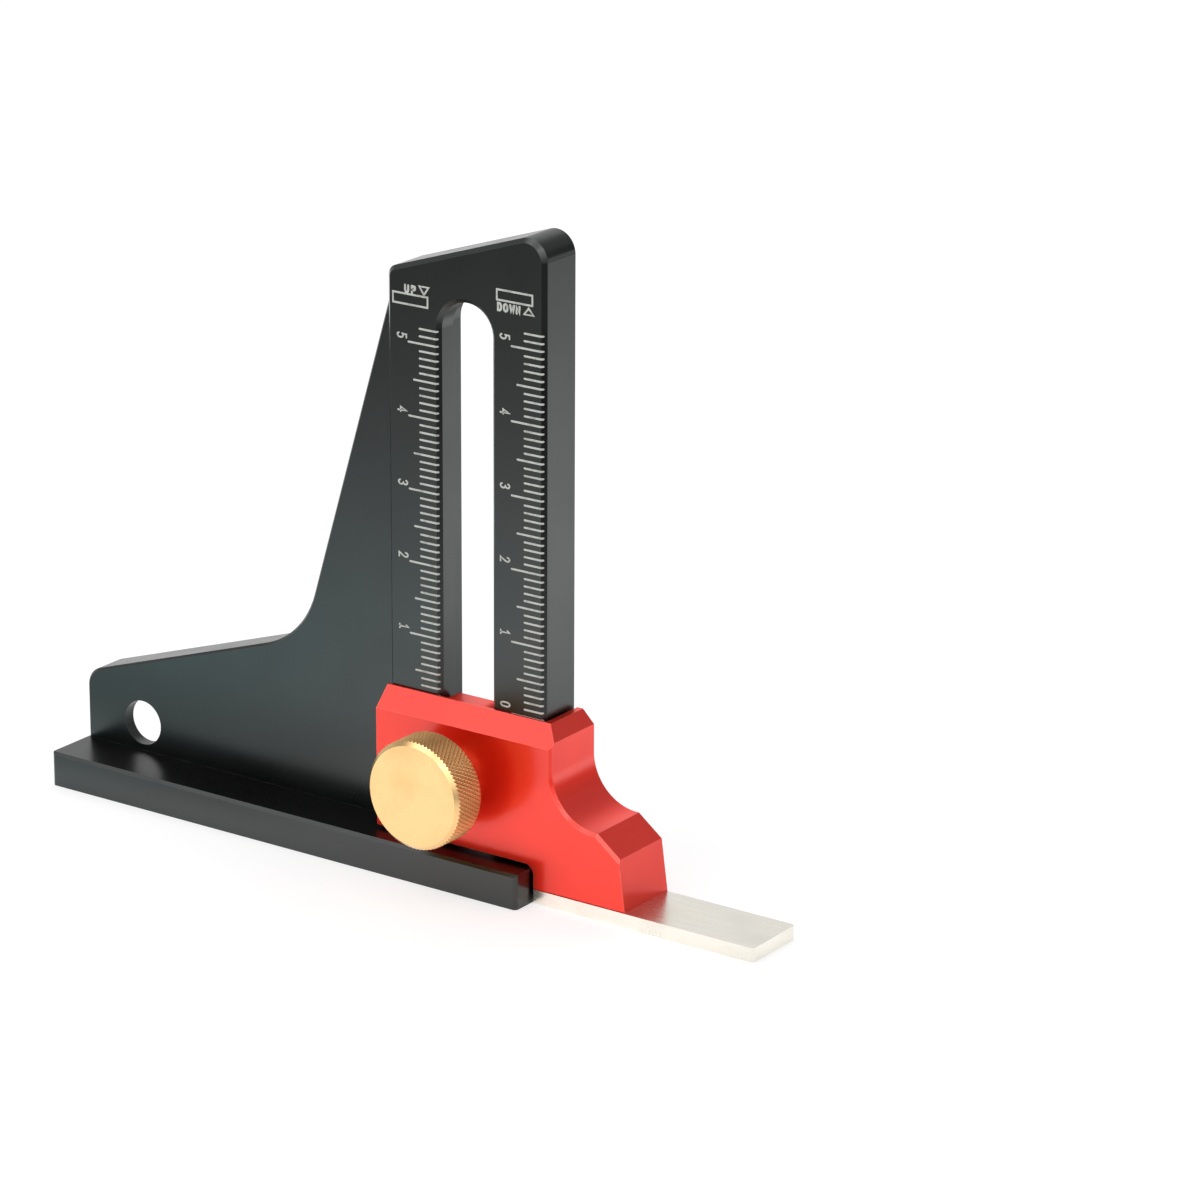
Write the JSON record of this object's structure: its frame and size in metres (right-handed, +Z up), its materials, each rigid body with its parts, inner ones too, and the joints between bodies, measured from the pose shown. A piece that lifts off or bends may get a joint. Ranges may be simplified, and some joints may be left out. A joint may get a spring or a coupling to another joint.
{
  "type": "depth and height gauge",
  "caption": "Small setting gauge: a flanged body with a tall slotted column, and a slider with a flat measuring blade that is locked by a knurled thumb screw.",
  "frame": {"origin": "middle of the base face, halfway along its length and halfway across its depth", "axes": "+X from the tail towards the blade, +Y from the front with the thumb screw to the back, +Z up the column"},
  "size_m": [0.115, 0.0196, 0.089],
  "materials": {
    "black_anodised": "satin black anodising over a fine blasted face",
    "red_anodised": "satin red anodising",
    "ground_steel": "ground",
    "screw_steel": "blackened",
    "turned_brass": "turned and knurled",
    "nut_brass": "turned"
  },
  "bodies": {
    "frame": {"body": "black_anodised"},
    "carriage": {"slider": "red_anodised", "blade": "ground_steel", "blade_screws": "screw_steel"},
    "clamp_screw": {"thumb_screw": "turned_brass"},
    "lock_nut": {"clamp_nut": "nut_brass"}
  },
  "joints": [
    {"name": "slider_slide", "type": "slide", "parent": "frame", "child": "carriage", "axis": [0, 0, 1], "range_m": [0, 0.052]},
    {"name": "thumb_turn", "type": "hinge", "parent": "carriage", "child": "clamp_screw", "pos_m": [0.0273, 0, 0.0149], "axis": [0, -1, 0], "range_deg": [0, 360]},
    {"name": "nut_travel", "type": "slide", "parent": "carriage", "child": "lock_nut", "axis": [0, 1, 0], "range_m": [0, 0.001]}
  ],
  "couplings": [
    {"joint": "nut_travel", "follows": "thumb_turn", "m_per_rad": 0.00015915}
  ]
}
